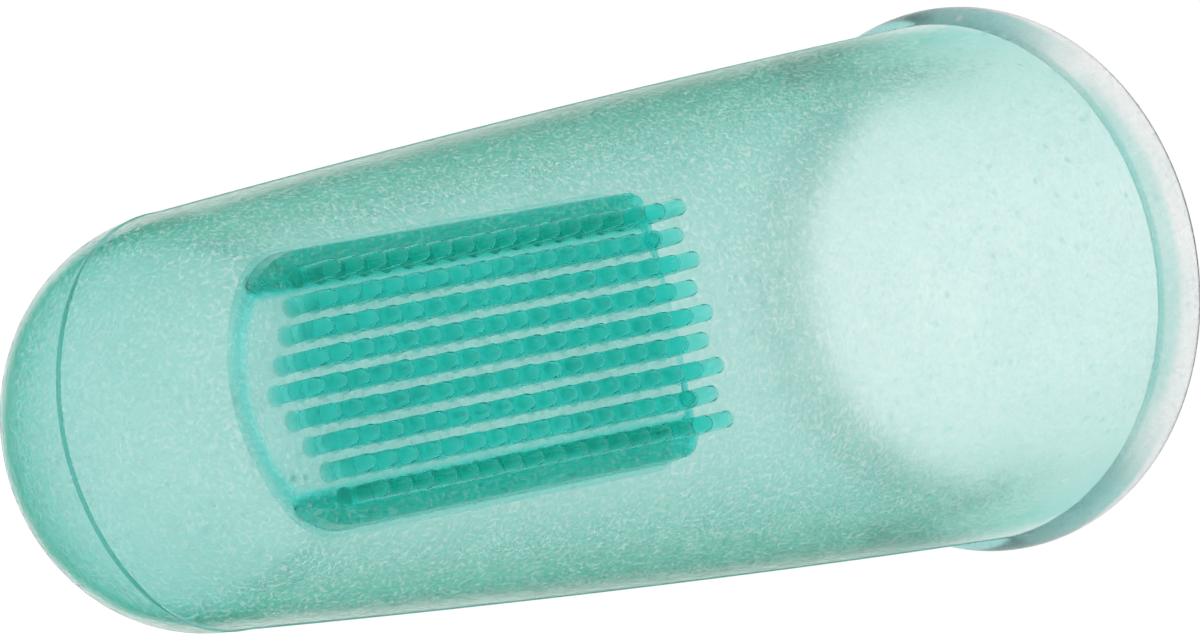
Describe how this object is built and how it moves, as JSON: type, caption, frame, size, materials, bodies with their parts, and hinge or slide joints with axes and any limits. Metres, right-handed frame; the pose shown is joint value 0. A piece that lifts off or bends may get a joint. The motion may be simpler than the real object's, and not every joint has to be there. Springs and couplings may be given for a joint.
{
  "type": "pet finger toothbrush",
  "caption": "Closed-end elastomer finger sleeve with a rounded tip, a beaded open rim and a flat pad of short round-tipped bristles for brushing a pet's teeth.",
  "frame": {"origin": "on the finger axis, in the plane of the open rim that the part stands on", "axes": "+Z along the finger axis from the open rim to the closed tip; -Y out of the bristle pad; X across the pad"},
  "size_m": [0.0254, 0.0259, 0.06],
  "materials": {
    "sleeve_elastomer": "frosted translucent",
    "rim_elastomer": "frosted translucent",
    "pad_elastomer": "smooth translucent",
    "bristle_elastomer": "smooth translucent"
  },
  "bodies": {
    "sleeve": {"finger_sleeve": "sleeve_elastomer", "tip_dome": "sleeve_elastomer", "rim_bead": "rim_elastomer", "brush_pad": "pad_elastomer"},
    "row_1": {"bristle_row_1": "bristle_elastomer"},
    "row_2": {"bristle_row_2": "bristle_elastomer"},
    "row_3": {"bristle_row_3": "bristle_elastomer"},
    "row_4": {"bristle_row_4": "bristle_elastomer"},
    "row_5": {"bristle_row_5": "bristle_elastomer"},
    "row_6": {"bristle_row_6": "bristle_elastomer"},
    "row_7": {"bristle_row_7": "bristle_elastomer"},
    "row_8": {"bristle_row_8": "bristle_elastomer"},
    "row_9": {"bristle_row_9": "bristle_elastomer"}
  },
  "joints": [
    {"name": "row_1_lean", "type": "hinge", "parent": "sleeve", "child": "row_1", "pos_m": [0.00458, -0.00966, 0.04503], "axis": [0, 0.0872, 0.9962], "range_deg": [-30, 30], "stiffness_Nm_per_rad": 0.0009},
    {"name": "row_2_lean", "type": "hinge", "parent": "sleeve", "child": "row_2", "pos_m": [0.00344, -0.00966, 0.04503], "axis": [0, 0.0872, 0.9962], "range_deg": [-30, 30], "stiffness_Nm_per_rad": 0.0009},
    {"name": "row_3_lean", "type": "hinge", "parent": "sleeve", "child": "row_3", "pos_m": [0.00229, -0.00966, 0.04503], "axis": [0, 0.0872, 0.9962], "range_deg": [-30, 30], "stiffness_Nm_per_rad": 0.0009},
    {"name": "row_4_lean", "type": "hinge", "parent": "sleeve", "child": "row_4", "pos_m": [0.00114, -0.00966, 0.04503], "axis": [0, 0.0872, 0.9962], "range_deg": [-30, 30], "stiffness_Nm_per_rad": 0.0009},
    {"name": "row_5_lean", "type": "hinge", "parent": "sleeve", "child": "row_5", "pos_m": [0, -0.00966, 0.04503], "axis": [0, 0.0872, 0.9962], "range_deg": [-30, 30], "stiffness_Nm_per_rad": 0.0009},
    {"name": "row_6_lean", "type": "hinge", "parent": "sleeve", "child": "row_6", "pos_m": [-0.00114, -0.00966, 0.04503], "axis": [0, 0.0872, 0.9962], "range_deg": [-30, 30], "stiffness_Nm_per_rad": 0.0009},
    {"name": "row_7_lean", "type": "hinge", "parent": "sleeve", "child": "row_7", "pos_m": [-0.00229, -0.00966, 0.04503], "axis": [0, 0.0872, 0.9962], "range_deg": [-30, 30], "stiffness_Nm_per_rad": 0.0009},
    {"name": "row_8_lean", "type": "hinge", "parent": "sleeve", "child": "row_8", "pos_m": [-0.00344, -0.00966, 0.04503], "axis": [0, 0.0872, 0.9962], "range_deg": [-30, 30], "stiffness_Nm_per_rad": 0.0009},
    {"name": "row_9_lean", "type": "hinge", "parent": "sleeve", "child": "row_9", "pos_m": [-0.00458, -0.00966, 0.04503], "axis": [0, 0.0872, 0.9962], "range_deg": [-30, 30], "stiffness_Nm_per_rad": 0.0009}
  ],
  "couplings": [
    {"joint": "row_1_lean", "follows": "row_5_lean", "ratio": 1},
    {"joint": "row_2_lean", "follows": "row_5_lean", "ratio": 1},
    {"joint": "row_3_lean", "follows": "row_5_lean", "ratio": 1},
    {"joint": "row_4_lean", "follows": "row_5_lean", "ratio": 1},
    {"joint": "row_6_lean", "follows": "row_5_lean", "ratio": 1},
    {"joint": "row_7_lean", "follows": "row_5_lean", "ratio": 1},
    {"joint": "row_8_lean", "follows": "row_5_lean", "ratio": 1},
    {"joint": "row_9_lean", "follows": "row_5_lean", "ratio": 1}
  ]
}
